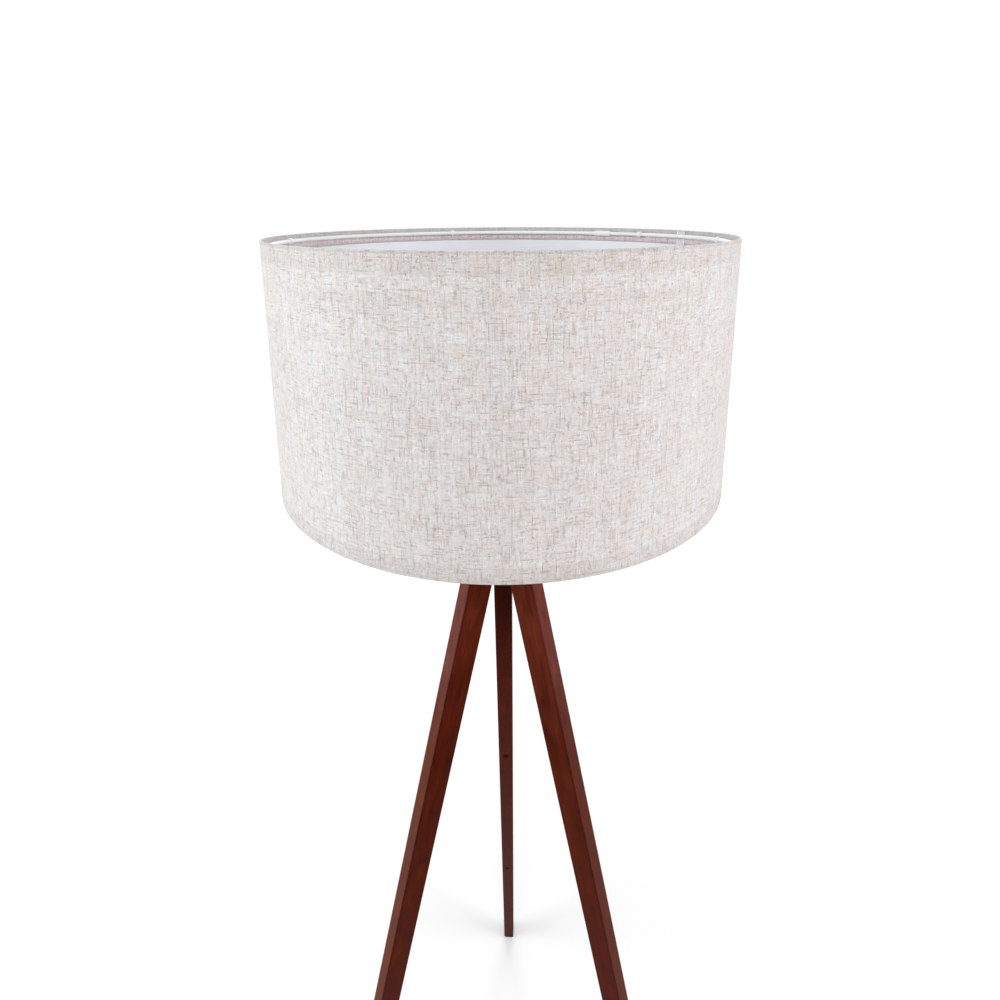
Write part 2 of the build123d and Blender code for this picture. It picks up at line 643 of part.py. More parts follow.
def on_wall(up, depth):
    """The (radius, height) of a place on the shade's wall."""
    return (SHADE_BOTTOM_RADIUS + up * UP_R - depth * UP_Z, SHADE_Z + up * UP_Z + depth * UP_R)


def shade_fabric():
    """The linen cover, turned in over both edges, with its seam behind the seam tape."""
    cloth = FABRIC_THICKNESS
    back = cloth + LINING_POCKET
    outline = [
        (0, 0),
        (SLANT, 0),
        (SLANT, WALL_FACE),
        (SLANT - HEM_WIDTH, WALL_FACE),
        (SLANT - HEM_WIDTH, back),
        (SLANT - cloth, back),
        (SLANT - cloth, cloth),
        (cloth, cloth),
        (cloth, back),
        (HEM_WIDTH, back),
        (HEM_WIDTH, WALL_FACE),
        (0, WALL_FACE),
    ]
    return Rot(0, 0, SEAM_TAPE_AZIMUTH) * turned([on_wall(*place) for place in outline])


def shade_lining():
    """The lining: one rolled sheet, its ends meeting behind the seam tape and its edges inside the hems."""
    outer = FABRIC_THICKNESS + LINING_GAP
    inner = FABRIC_THICKNESS + LINING_POCKET - LINING_GAP
    corners = [(outer, outer), (SLANT - outer, outer), (SLANT - outer, inner), (outer, inner)]
    outline = make_face(Polyline(*[on_wall(*corner) for corner in corners], close=True))
    gap = math.degrees(LINING_SEAM_GAP / SHADE_TOP_RADIUS)
    sheet = revolve(Plane.XZ * outline, Axis.Z, revolution_arc=360 - gap)
    return Rot(0, 0, SEAM_TAPE_AZIMUTH + gap / 2) * sheet


def seam_tape():
    """The narrow tape over the seam, stepping down from each hem to the lining."""
    face = TAPE_FACE - FABRIC_THICKNESS
    film = SEAM_TAPE_THICKNESS
    step = HEM_WIDTH + GLUE_LINE
    upper = [
        (SLANT - step, face - film),
        (SLANT - step, TAPE_FACE - film),
        (SLANT - SEAM_TAPE_SETBACK, TAPE_FACE - film),
        (SLANT - SEAM_TAPE_SETBACK, TAPE_FACE),
        (SLANT - step - film, TAPE_FACE),
        (SLANT - step - film, face),
    ]
    lower = [(SLANT - up, depth) for up, depth in reversed(upper)]
    outline = make_face(Polyline(*[on_wall(*corner) for corner in upper + lower], close=True))
    arc = math.degrees(SEAM_TAPE_WIDTH / SHADE_TOP_RADIUS)
    tape = revolve(Plane.XZ * outline, Axis.Z, revolution_arc=arc)
    return Rot(0, 0, SEAM_TAPE_AZIMUTH - arc / 2) * tape


def wire_ring(up, wire):
    """A wire ring that lies against the inside of the shade, and the ring's (radius, height)."""
    radius, height = on_wall(up, TAPE_FACE + SEAT_GAP + wire / 2)
    return Pos(0, 0, height) * Torus(radius, wire / 2), radius, height


def ring_saddle(diameter, length, radius, height):
    """A metal saddle bent over the top ring from the inside, with its feet towards the hem."""
    sag = length**2 / (8 * radius)
    bore = RING_WIRE_DIAMETER / 2 + sag + SEAT_GAP
    saddle = across(diameter / 2, -length / 2, length / 2) - across(bore, -length, length)
    feet = RING_WIRE_DIAMETER / 2 - sag
    saddle -= slab(feet, diameter, -length, length, -diameter, diameter)
    tilt = math.degrees(math.asin(UP_R))
    return Pos(radius, 0, height) * Rot(0, tilt, 0) * saddle


def spider():
    """Bottom ring, three spokes and fitter ring, welded into one."""
    ring, ring_radius, ring_z = wire_ring(RING_DROP, SPIDER_WIRE_DIAMETER)
    fitter_bore = THREAD_RADIUS + FITTER_GAP
    fitter_radius = FITTER_DIAMETER / 2
    fitter = tube(fitter_radius, fitter_bore, SEAT_Z, SEAT_Z + FITTER_THICKNESS)
    wire = SPIDER_WIRE_DIAMETER / 2
    inner = Vector(fitter_radius + wire / 2, 0, SEAT_Z + FITTER_THICKNESS / 2)
    outer = Vector(ring_radius, 0, ring_z)
    run = outer - inner
    spoke = Plane(origin=inner, z_dir=run) * extrude(Circle(wire), run.length)
    lug = Pos(inner.X, 0, SEAT_Z + FITTER_THICKNESS / 2) * Box(4 * wire, 2 * wire, FITTER_THICKNESS)
    frame = ring + fitter
    for azimuth in SPOKE_AZIMUTHS:
        frame += Rot(0, 0, azimuth) * spoke
        frame += Rot(0, 0, azimuth) * lug
    return frame


def write_shade():
    """Every piece of the shade."""
    write("shade_fabric", shade_fabric())
    write("shade_lining", shade_lining())
    write("seam_tape", seam_tape())
    ring, ring_radius, ring_z = wire_ring(SLANT - RING_DROP, RING_WIRE_DIAMETER)
    write("top_ring", ring)
    ferrule = ring_saddle(FERRULE_DIAMETER, FERRULE_LENGTH, ring_radius, ring_z)
    write("ring_ferrule", Rot(0, 0, FERRULE_AZIMUTH) * ferrule)
    clip = ring_saddle(CLIP_DIAMETER, CLIP_LENGTH, ring_radius, ring_z)
    write("ring_clips", *[Rot(0, 0, azimuth) * clip for azimuth in CLIP_AZIMUTHS])
    write("spider", spider())


os.makedirs("parts", exist_ok=True)
write_legs()
write_neck()
write_lampholder()
write_bulb()
write_shade()
print("pivot height", round(PIVOT_Z, 1), "pivot radius", round(PIVOT_RADIUS, 2))
print("shade from", round(SHADE_Z, 1), "to", round(SHADE_Z + SHADE_HEIGHT, 1))
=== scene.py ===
# %% [markdown]
# # A tripod floor lamp
# A linen drum shade stands on three spread wooden legs that fold at a small metal hub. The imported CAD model
# already holds every piece at its real size and place. This lesson dresses it: the cloth, the lining and
# the glass are modelled again as smooth meshes, and every surface gets a finish made of shader nodes.

# %% Load the frame
import json
import math

import bmesh
import bpy
from mathutils import Matrix, Vector
from mathutils.geometry import interpolate_bezier


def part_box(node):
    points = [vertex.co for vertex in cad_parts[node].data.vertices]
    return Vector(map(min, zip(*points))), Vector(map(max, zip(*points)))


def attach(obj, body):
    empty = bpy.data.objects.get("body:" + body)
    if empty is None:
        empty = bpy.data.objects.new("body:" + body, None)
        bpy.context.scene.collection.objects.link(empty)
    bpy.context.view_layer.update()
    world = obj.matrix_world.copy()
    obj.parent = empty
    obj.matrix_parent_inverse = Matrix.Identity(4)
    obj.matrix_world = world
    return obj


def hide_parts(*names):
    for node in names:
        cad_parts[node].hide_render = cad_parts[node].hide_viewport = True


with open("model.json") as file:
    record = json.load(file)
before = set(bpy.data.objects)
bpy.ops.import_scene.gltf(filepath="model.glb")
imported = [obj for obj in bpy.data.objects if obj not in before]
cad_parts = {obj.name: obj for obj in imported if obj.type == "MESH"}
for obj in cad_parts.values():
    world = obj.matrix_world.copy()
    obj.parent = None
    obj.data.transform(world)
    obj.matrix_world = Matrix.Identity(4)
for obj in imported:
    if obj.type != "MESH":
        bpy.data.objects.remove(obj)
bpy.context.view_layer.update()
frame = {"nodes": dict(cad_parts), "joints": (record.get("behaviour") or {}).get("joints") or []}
nodes = frame["nodes"]
joints = {joint["name"]: joint for joint in frame["joints"]}
scene = bpy.context.scene
scene.view_settings.view_transform = "Standard"
MM = 0.001

# %% [markdown]
# ## The camera
# The picture is taken from close by, just above the rim of the shade, so the shade fills it and the legs
# run down out of it. A wide lens near the object draws the shade's front rim much larger than its back rim;
# a long lens further away would flatten that. The shift moves the frame down without turning the camera,
# and a third of a degree of roll tilts the picture.

# %% Camera
CAMERA_PLACE = Vector((0.0216, -0.5319, 1.5252))
CAMERA_YAW = math.radians(2.464)
CAMERA_PITCH = math.radians(22.307)
CAMERA_ROLL = math.radians(-0.319)
SENSOR_WIDTH = 36.0
LENS_LENGTH = 21.46
FRAME_SHIFT = -0.05
NEAREST_SEEN = 0.01

lens = bpy.data.cameras.new("photo_lens")
lens.sensor_width = SENSOR_WIDTH
lens.lens = LENS_LENGTH
lens.shift_y = FRAME_SHIFT
lens.clip_start = NEAREST_SEEN
camera = bpy.data.objects.new("photo_camera", lens)
scene.collection.objects.link(camera)
look = Matrix.Rotation(CAMERA_YAW, 4, "Z") @ Matrix.Rotation(math.pi / 2 - CAMERA_PITCH, 4, "X")
camera.matrix_world = Matrix.Translation(CAMERA_PLACE) @ look @ Matrix.Rotation(CAMERA_ROLL, 4, "Z")
scene.camera = camera
print("camera", [round(x, 3) for x in camera.location], "lens", lens.lens)

# %% [markdown]
# ## Nodes by the handful
# A shader is a small network, and adding each node takes several lines. These helpers add a node with its
# options and inputs in one call. An input takes either another node's output or a plain value. Most nodes
# here do arithmetic on values, vectors and colours, so each sum gets a short name.

# %% Helpers for single nodes
def wire(tree, socket, value):
    """Feeds an input from another socket, or sets it to a plain value."""
    if isinstance(value, bpy.types.NodeSocket):
        tree.links.new(value, socket)
    else:
        socket.default_value = value


def add(tree, kind, inputs=(), **options):
    """A new shader node with its options set and its inputs fed."""
    node = tree.nodes.new("ShaderNode" + kind)
    for name, value in options.items():
        setattr(node, name, value)
    for key, value in dict(inputs).items():
        wire(tree, node.inputs[key], value)
    return node


def calc(tree, operation, *values):
    """The result of one Math node."""
    return add(tree, "Math", enumerate(values), operation=operation).outputs[0]


def step(tree, value, low, high, start=0.0, end=1.0):
    """A smooth step from start to end as the value goes from low to high."""
    span = {"Value": value, "From Min": low, "From Max": high, "To Min": start, "To Max": end}
    return add(tree, "MapRange", span, interpolation_type="SMOOTHSTEP").outputs[0]


def mix(tree, share, first, second):
    """A colour between two colours."""
    return add(tree, "Mix", {0: share, 6: first, 7: second}, data_type="RGBA").outputs[2]


def multiply(tree, first, second):
    """The product of two colours."""
    node = add(tree, "Mix", {0: 1.0, 6: first, 7: second}, data_type="RGBA", blend_type="MULTIPLY")
    return node.outputs[2]


def shift(tree, share, first, second):
    """A value between two values."""
    return add(tree, "Mix", {0: share, 2: first, 3: second}, data_type="FLOAT").outputs[0]


def triple(tree, x, y, z):
    """Three values as one vector."""
    return add(tree, "CombineXYZ", {0: x, 1: y, 2: z}).outputs[0]


def apart(tree, vector):
    """A vector's three values."""
    return add(tree, "SeparateXYZ", {0: vector}).outputs


def cloud(tree, vector, scale, detail=2.0):
    """Soft noise from 0 to 1."""
    return add(tree, "TexNoise", {"Vector": vector, "Scale": scale, "Detail": detail}).outputs["Fac"]


print("node helpers ready")

# %% [markdown]
# A node group is a small network with sockets of its own, drawn once and used in many materials. A finish
# is a material whose Principled shader has its constant values set; what varies over the surface is wired
# later.

# %% Helpers for groups and finishes
def new_group(name, inputs, outputs):
    """A node group with named sockets, and the sockets to build between."""
    group = bpy.data.node_groups.new(name, "ShaderNodeTree")
    for label, kind, default in inputs:
        socket = group.interface.new_socket(label, in_out="INPUT", socket_type="NodeSocket" + kind)
        socket.default_value = default
    for label, kind in outputs:
        group.interface.new_socket(label, in_out="OUTPUT", socket_type="NodeSocket" + kind)
    entry = group.nodes.new("NodeGroupInput").outputs
    exits = group.nodes.new("NodeGroupOutput").inputs
    return group, entry, exits


def use(tree, group, inputs):
    """The outputs of a node group placed in a tree."""
    node = tree.nodes.new("ShaderNodeGroup")
    node.node_tree = group
    for key, value in inputs.items():
        wire(tree, node.inputs[key], value)
    return node.outputs


def new_finish(name, **constants):
    """A material with its Principled shader's constant sockets set."""
    material = bpy.data.materials.new(name)
    material.use_nodes = True
    shader = material.node_tree.nodes["Principled BSDF"]
    for label, value in constants.items():
        shader.inputs[label.replace("_", " ")].default_value = value
    return material, material.node_tree, shader.inputs


def relief(tree, height, depth):
    """A bump normal from a height."""
    return add(tree, "Bump", {"Height": height, "Distance": depth, "Strength": 1.0}).outputs["Normal"]


print("group and finish helpers ready")

# %% [markdown]
# ## The room
# A product picture on white needs light from all round, with a little more from the two sides, so that the
# drum is darkest in the middle and the outer faces of the legs stand out. The world gives the even part,
# and four soft boxes give the rest: one each side, one in front and one behind. To the camera, and to
# mirrors and glass, the sky is plain white: Light Path tells those rays from the ones that carry light.

# %% World and lamps
SKY_LIGHT = 0.45


def seen_rays(tree):
    """1 for the rays that show a surface: from the camera, a gloss or a glass."""
    path = add(tree, "LightPath").outputs
    straight = calc(tree, "MAXIMUM", path["Is Camera Ray"], path["Is Glossy Ray"])
    return calc(tree, "MAXIMUM", straight, path["Is Transmission Ray"])


world = bpy.data.worlds.new("white_room")
scene.world = world
world.use_nodes = True
sky = world.node_tree
sky.nodes["Background"].inputs["Strength"].default_value = 1.0
level = shift(sky, seen_rays(sky), SKY_LIGHT, 1.0)
wire(sky, sky.nodes["Background"].inputs["Color"], triple(sky, level, level, level))

LIT_PLACE = Vector((0, 0, 1.3))


def soft_box(name, place, width, height, power, color=(1, 1, 1)):
    """A rectangular lamp that faces the shade."""
    lamp = bpy.data.lights.new(name, "AREA")
    lamp.shape = "RECTANGLE"
    lamp.size = width
    lamp.size_y = height
    lamp.energy = power
    lamp.color = color
    holder = bpy.data.objects.new(name, lamp)
    holder.location = place
    holder.rotation_euler = (LIT_PLACE - Vector(place)).to_track_quat("-Z", "Y").to_euler()
    scene.collection.objects.link(holder)


soft_box("left_soft_box", (-2.2, -0.55, 1.9), width=1.3, height=1.5, power=42, color=(0.87, 0.975, 1.0))
soft_box("right_soft_box", (2.2, -0.55, 1.9), width=1.3, height=1.5, power=38, color=(0.94, 0.985, 1.0))
soft_box("front_soft_box", (0, -2.4, 2.7), width=2.0, height=1.2, power=30)
soft_box("back_soft_box", (0, 2.4, 2.3), width=2.0, height=1.2, power=40)
print("sky", SKY_LIGHT, "and", len(bpy.data.lights), "soft boxes")

# %% [markdown]
# ## The floor
# The floor is a pale sheet that takes the lamp's shadow. Far from the soft boxes less light falls on it and
# it would fade to grey, so a glow makes up for that and grows with the distance from the lamp. Only the
# rays that show the floor meet the glow and the paler colour. Those that carry its light to the lamp find
# it darker, so that the lamp isn't lit from below. The side boxes are a little cool, and some red in the
# floor balances them.

# %% Floor
FLOOR_SIZE = 30.0
FLOOR_BOUNCE = 0.36
FLOOR_SEEN = 0.72
FLOOR_RED = 1.025
NEAR_GLOW = 0.10
FAR_GLOW = 0.70
GLOW_START = 0.3
GLOW_END = 3.6

floor_shape = bmesh.new()
bmesh.ops.create_grid(floor_shape, x_segments=1, y_segments=1, size=FLOOR_SIZE / 2)
floor_mesh = bpy.data.meshes.new("floor")
floor_shape.to_mesh(floor_mesh)
floor_shape.free()
floor = bpy.data.objects.new("floor", floor_mesh)
scene.collection.objects.link(floor)
paper, paper_tree, paper_inputs = new_finish("pale_floor", Roughness=0.9, Specular_IOR_Level=0.0)
seen = seen_rays(paper_tree)
paleness = shift(paper_tree, seen, FLOOR_BOUNCE, FLOOR_SEEN)
red = calc(paper_tree, "MULTIPLY", paleness, FLOOR_RED)
wire(paper_tree, paper_inputs["Base Color"], triple(paper_tree, red, paleness, paleness))
paper_place = add(paper_tree, "TexCoord").outputs["Object"]
from_lamp = add(paper_tree, "VectorMath", {0: paper_place}, operation="LENGTH").outputs["Value"]
glow = step(paper_tree, from_lamp, GLOW_START, GLOW_END, NEAR_GLOW, FAR_GLOW)
wire(paper_tree, paper_inputs["Emission Color"], (1, 1, 1, 1))
wire(paper_tree, paper_inputs["Emission Strength"], calc(paper_tree, "MULTIPLY", seen, glow))
floor_mesh.materials.append(paper)
print("floor", FLOOR_SIZE, "m wide")

# %% [markdown]
# ## Turned shapes
# The shade and the bulb are round about one axis, so a half outline spun about that axis makes them.
# Spinning keeps the mesh in tidy rows and columns, which cloth needs for its weave. The helpers below spin
# an outline, and turn a finished bmesh into a piece that rides on a body of the lamp.

# %% Helpers for shapes
SPIN_STEPS = 240
WELD = 0.01 * MM
SMOOTH_UNDER = 40.0


def outline(bm, points):
    """Vertices and edges of an outline of (radius, height) points, in the XZ plane."""
    corners = [bm.verts.new((radius, 0, height)) for radius, height in points]
    edges = [bm.edges.new(pair) for pair in zip(corners, corners[1:])]
    return corners, edges


def spin(bm, geometry, steps=SPIN_STEPS):
    """Spins an outline once round the lamp's axis and closes its seams and poles."""
    bmesh.ops.spin(
        bm, geom=geometry, cent=(0, 0, 0), axis=(0, 0, 1), angle=2 * math.pi, steps=steps, use_merge=True
    )
    bmesh.ops.remove_doubles(bm, verts=bm.verts, dist=WELD)
    bmesh.ops.recalc_face_normals(bm, faces=bm.faces)


def make_piece(name, bm, body, finish, replaced, crease=SMOOTH_UNDER):
    """A bmesh as a piece of the lamp: smooth, with edges sharper than the crease angle kept."""
    mesh = bpy.data.meshes.new(name)
    bm.to_mesh(mesh)
    bm.free()
    mesh.materials.append(finish)
    mesh.shade_smooth()
    mesh.set_sharp_from_angle(angle=math.radians(crease))
    piece = bpy.data.objects.new(name, mesh)
    scene.collection.objects.link(piece)
    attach(piece, body)
    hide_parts(*replaced)
    print(name, "faces", len(mesh.polygons))
    return piece


print("shape helpers ready, spinning in", SPIN_STEPS, "steps")

# %% [markdown]
# ## Linen
# Linen is a plain weave of uneven yarn: each thread goes over one and under the next, and tan slubs run
# along single threads in both directions. Noise that is sampled once per thread, and slowly along it, draws
# exactly such streaks. The pattern reads the cloth's own UV map, in metres, so that the threads follow the
# shade up and round. An image could do it too, but would not stay sharp close by.

# %% The weave group's threads
WARP_PITCH = 0.69 * MM
WEFT_PITCH = 0.80 * MM
WARP_DASHES = 110.0
WEFT_DASHES = 130.0
WARP_SLUBS = 40.0
WEFT_SLUBS = 52.0
WARP_SALT = 3.7
WEFT_SALT = 8.1
WANDER_SCALE = 130.0
WANDER_REACH = 0.8
DASH_STRIDE = 0.731
SLUB_STRIDE = 0.531
DASH_STEP = (0.46, 0.80)
SLUB_STEP = (0.57, 0.78)
DYE_STEP = (0.0, 0.8, 0.28, 0.0)

weave, cloth_in, cloth_out = new_group(
    "linen_weave",
    [
        ("Cloth", "Vector", (0, 0, 0)),
        ("Warp Pitch", "Float", WARP_PITCH),
        ("Weft Pitch", "Float", WEFT_PITCH),
    ],
    [("Color", "Color"), ("Height", "Float")],
)
cloth_place = cloth_in["Cloth"]
across, along, _ = apart(weave, cloth_place)
wander = calc(weave, "MULTIPLY", cloud(weave, cloth_place, WANDER_SCALE, 1.0), WANDER_REACH)


def along_threads(number, stride, run, rate, salt):
    """Noise that jumps from thread to thread and changes slowly along each."""
    place = triple(weave, calc(weave, "MULTIPLY", number, stride), calc(weave, "MULTIPLY", run, rate), salt)
    return cloud(weave, place, 1.0, 2.0)


def thread_set(span, run, pitch, dashes, slubs, salt):
    """One set of threads: its number, its round top, and how dark its yarn and its slubs are."""
    count = calc(weave, "ADD", calc(weave, "DIVIDE", span, pitch), wander)
    number = calc(weave, "FLOOR", count)
    top = calc(weave, "ABSOLUTE", calc(weave, "SINE", calc(weave, "MULTIPLY", count, math.pi)))
    salted = calc(weave, "ADD", number, salt)
    dye = add(weave, "TexWhiteNoise", {"W": salted}, noise_dimensions="1D").outputs["Value"]
    dash = step(weave, along_threads(number, DASH_STRIDE, run, dashes, salt), *DASH_STEP)
    dark = calc(weave, "MAXIMUM", dash, step(weave, dye, *DYE_STEP))
    slub = step(weave, along_threads(number, SLUB_STRIDE, run, slubs, salt), *SLUB_STEP)
    return number, top, dark, slub


warp_pitch = cloth_in["Warp Pitch"]
weft_pitch = cloth_in["Weft Pitch"]
warp_number, warp_top, warp_dark, warp_slub = thread_set(
    across, along, warp_pitch, WARP_DASHES, WARP_SLUBS, WARP_SALT
)
weft_number, weft_top, weft_dark, weft_slub = thread_set(
    along, across, weft_pitch, WEFT_DASHES, WEFT_SLUBS, WEFT_SALT
)
print("weave with", round(0.01 / WARP_PITCH, 1), "warp threads to the centimetre")

# %% [markdown]
# At each crossing one thread lies on top and mostly hides the other, turn and turn about like a chessboard.
# The yarn is cool or warm in soft patches, some stretches of cloth are busier than others, and a few
# crossings hold a brown fleck. The hollows between threads get painted shade, and no two crossings are
# equally bright. The group gives only a colour and a height; the shader that uses them stays in the material.

# %% The weave group's colours
COOL_YARN = (0.893, 0.862, 0.867, 1)
WARM_YARN = (0.893, 0.822, 0.801, 1)
DARK_THREAD = (0.44, 0.346, 0.294, 1)
SLUB_TAN = (0.50, 0.40, 0.325, 1)
SLUB_SHARE = 0.62
FLECK_BROWN = (0.26, 0.20, 0.17, 1)
FLECK_SHARE = 0.55
BUSY_SCALE = 30.0
BUSY_STEP = (0.36, 0.64, 0.90, 1.14)
PATCH_SCALE = 85.0
WARM_STEP = (0.38, 0.60)
FLECK_STEP = (0.988, 0.995)
UNDER_DARK = 0.4
UNDER_SLUB = 0.55
HOLLOW_SHADE_STEP = (0.0, 0.6, 0.72, 1.0)
CROSSING_TONES = (1.11, 0.92)
OVER_TONES = (0.97, 1.03)
SLUB_HEIGHT = 0.5

over = calc(weave, "MODULO", calc(weave, "ADD", warp_number, weft_number), 2.0)
thread_height = shift(weave, over, weft_top, warp_top)


def topmost(warp, weft, under):
    """The stronger of the two threads at a crossing, where the one beneath shows by a share."""
    shown_warp = calc(weave, "MULTIPLY", warp, shift(weave, over, under, 1.0))
    shown_weft = calc(weave, "MULTIPLY", weft, shift(weave, over, 1.0, under))
    return calc(weave, "MAXIMUM", shown_warp, shown_weft)


def patches(across_scale, along_scale):
    """Soft patches, stretched along one of the two sets of threads."""
    stretch = {"Vector": cloth_place, "Scale": (across_scale, along_scale, 1)}
    return cloud(weave, add(weave, "Mapping", stretch).outputs[0], PATCH_SCALE, 3.0)


busy = step(weave, cloud(weave, cloth_place, BUSY_SCALE, 2.0), *BUSY_STEP)
dark = calc(weave, "MULTIPLY", topmost(warp_dark, weft_dark, UNDER_DARK), busy)
slub = calc(weave, "MULTIPLY", topmost(warp_slub, weft_slub, UNDER_SLUB), busy)
crossing = triple(weave, warp_number, weft_number, 0.0)
chance = add(weave, "TexWhiteNoise", {"Vector": crossing}, noise_dimensions="2D").outputs["Value"]
fleck = step(weave, chance, *FLECK_STEP)
warm = step(weave, shift(weave, 0.5, patches(1.6, 0.7), patches(0.7, 1.6)), *WARM_STEP)
yarn = mix(weave, warm, COOL_YARN, WARM_YARN)
yarn = mix(weave, dark, yarn, DARK_THREAD)
yarn = mix(weave, calc(weave, "MULTIPLY", slub, SLUB_SHARE), yarn, SLUB_TAN)
yarn = mix(weave, calc(weave, "MULTIPLY", fleck, FLECK_SHARE), yarn, FLECK_BROWN)
# Painted shade: the hollows between threads are darkened.
hollow_shade = step(weave, thread_height, *HOLLOW_SHADE_STEP)
hollow_shade_and_tone = calc(weave, "MULTIPLY", hollow_shade, shift(weave, chance, *CROSSING_TONES))
hollow_shade_and_tone = calc(weave, "MULTIPLY", hollow_shade_and_tone, shift(weave, over, *OVER_TONES))
wire(weave, cloth_out["Color"], multiply(weave, yarn, triple(weave, hollow_shade_and_tone, hollow_shade_and_tone, hollow_shade_and_tone)))
slub_height = calc(weave, "MULTIPLY", slub, SLUB_HEIGHT)
wire(weave, cloth_out["Height"], calc(weave, "ADD", thread_height, slub_height))
print("weave group of", len(weave.nodes), "nodes")

# %% [markdown]
# ## The cover
# The cover is one strip of linen glued round the lining and turned in over both edges. Its outline is
# followed as the cloth runs: from the cut edge inside the lower hem, round the fold, up the outside, over
# the upper fold and down to the other cut edge. The sizes of the wall are measured on the CAD model.

# %% The cloth's path
def radius_near(name, height, reach=0.5 * MM):
    """The largest radius of a CAD node's vertices within reach of a height."""
    near = [v.co for v in nodes[name].data.vertices if abs(v.co.z - height) < reach]
    return max(math.hypot(place.x, place.y) for place in near)


cover_low, cover_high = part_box("shade_fabric")
SHADE_FOOT = cover_low.z
SHADE_TOP = cover_high.z
FOOT_RADIUS = radius_near("shade_fabric", SHADE_FOOT)
TOP_RADIUS = radius_near("shade_fabric", SHADE_TOP)
WALL = Vector((TOP_RADIUS - FOOT_RADIUS, SHADE_TOP - SHADE_FOOT))
SLANT = WALL.length
UP = WALL.normalized()
HEM = 13.0 * MM
CLOTH = 0.6 * MM
HEM_DEPTH = 1.4 * MM
FOLD = (HEM_DEPTH - CLOTH / 2) / 2
FOLD_STEPS = 8
WALL_ROWS = 28


def on_wall(up, depth):
    """The (radius, height) of a place up along the shade's wall and in from its outer face."""
    return FOOT_RADIUS + up * UP.x - depth * UP.y, SHADE_FOOT + up * UP.y + depth * UP.x


def cloth_path():
    """The cloth's middle line as (up, depth) places, from one cut edge to the other."""
    edge = FOLD + CLOTH / 2
    turn = [math.pi * n / FOLD_STEPS for n in range(FOLD_STEPS + 1)]
    lower = [(edge - FOLD * math.sin(a), edge + FOLD * math.cos(a)) for a in turn]
    upper = [(SLANT - up, depth) for up, depth in reversed(lower)]
    rise = SLANT - 2 * edge
    wall = [(edge + rise * n / WALL_ROWS, edge - FOLD) for n in range(1, WALL_ROWS)]
    lower_hem = [(HEM, HEM_DEPTH), (HEM / 2, HEM_DEPTH)]
    upper_hem = [(SLANT - up, depth) for up, depth in reversed(lower_hem)]
    return lower_hem + lower + wall + upper + upper_hem


path = cloth_path()
print("cloth path of", len(path), "places up a wall of", round(SLANT / MM, 1), "mm")

# %% [markdown]
# The path is spun to a mesh. Each vertex keeps its distance along the cloth, so the UV map is the flat strip
# itself. The strip closes in a lapped seam on the right, towards the back. Two cuts, at the seam and just
# beside it, give the lap's edge vertices of its own, which are lifted a little. A Solidify modifier later
# gives the cloth its thickness.

# %% Cover mesh
SEAM_ANGLE = math.radians(25.5)
LAP = 12.0 * MM
LAP_RISE = 0.5 * MM
LAP_EDGE = 0.6 * MM
SEAM_SNAP = 0.02 * MM


def angle_from_seam(place):
    """The angle round the lamp's axis from the seam, from 0 to a full turn."""
    return (math.atan2(place.y, place.x) - SEAM_ANGLE) % (2 * math.pi)


def map_cloth(bm, run):
    """A UV map in metres: round the shade from the seam, and along the cloth from its cut edge."""
    uv = bm.loops.layers.uv.new("cloth")
    middle_radius = (FOOT_RADIUS + TOP_RADIUS) / 2
    for face in bm.faces:
        middle = angle_from_seam(face.calc_center_median())
        for loop in face.loops:
            angle = angle_from_seam(loop.vert.co)
            angle += 2 * math.pi * round((middle - angle) / (2 * math.pi))
            loop[uv].uv = (angle * middle_radius, loop.vert[run])


def raise_lap(bm):
    """Lifts the cloth's upper layer beside the seam, most at its edge."""
    seam_plane = Vector((-math.sin(SEAM_ANGLE), math.cos(SEAM_ANGLE), 0))
    for nudge in (0.0, LAP_EDGE):
        everything = bm.verts[:] + bm.edges[:] + bm.faces[:]
        place = seam_plane * nudge
        bmesh.ops.bisect_plane(bm, geom=everything, dist=SEAM_SNAP, plane_co=place, plane_no=seam_plane)
    for vert in bm.verts:
        radius = math.hypot(vert.co.x, vert.co.y)
        reach = angle_from_seam(vert.co) * radius
        outer = FOOT_RADIUS + (vert.co.z - SHADE_FOOT) / UP.y * UP.x - radius < FOLD
        if outer and 0.5 * LAP_EDGE < reach < LAP:
            lift = 1 + LAP_RISE * (1 - reach / LAP) / radius
            vert.co.x *= lift
            vert.co.y *= lift


cover_shape = bmesh.new()
run = cover_shape.verts.layers.float.new("run")
corners, edges = outline(cover_shape, [on_wall(*place) for place in path])
travelled = 0.0
for before, corner in zip([corners[0]] + corners, corners):
    travelled += (corner.co - before.co).length
    corner[run] = travelled
CLOTH_LENGTH = travelled
spin(cover_shape, corners + edges)
raise_lap(cover_shape)
map_cloth(cover_shape, run)
print("cloth", round(CLOTH_LENGTH / MM, 1), "mm from cut edge to cut edge")

# %% [markdown]
# The finish puts the weave in the shader. Where the hem doubles the cloth, less light comes through from
# inside, so the band gets painted shade: the distance along the cloth makes it a little darker and browner.
# The turned-in strip gets painted light, a rosier tint for the light that comes through the cloth; near the
# fold of the upper hem it gets the painted shadow of the top ring, and the upper fold is darker. A little
# sheen stands for the loose fibres that brighten cloth seen at a slant.

# %% Linen finish
PLAIN = (1, 1, 1, 1)
DOUBLED_TINT = (0.92, 0.91, 0.90, 1)
# Painted light: the next tint makes the turned-in strip rosier, for light that comes through the cloth.
THROUGH_LIGHT_TINT = (1.08, 0.97, 1.02, 1)
# Painted shadow: the next tint greys the upper hem's inside near the fold, in the top ring's shadow.
RING_SHADOW_TINT = (0.66, 0.66, 0.68, 1)
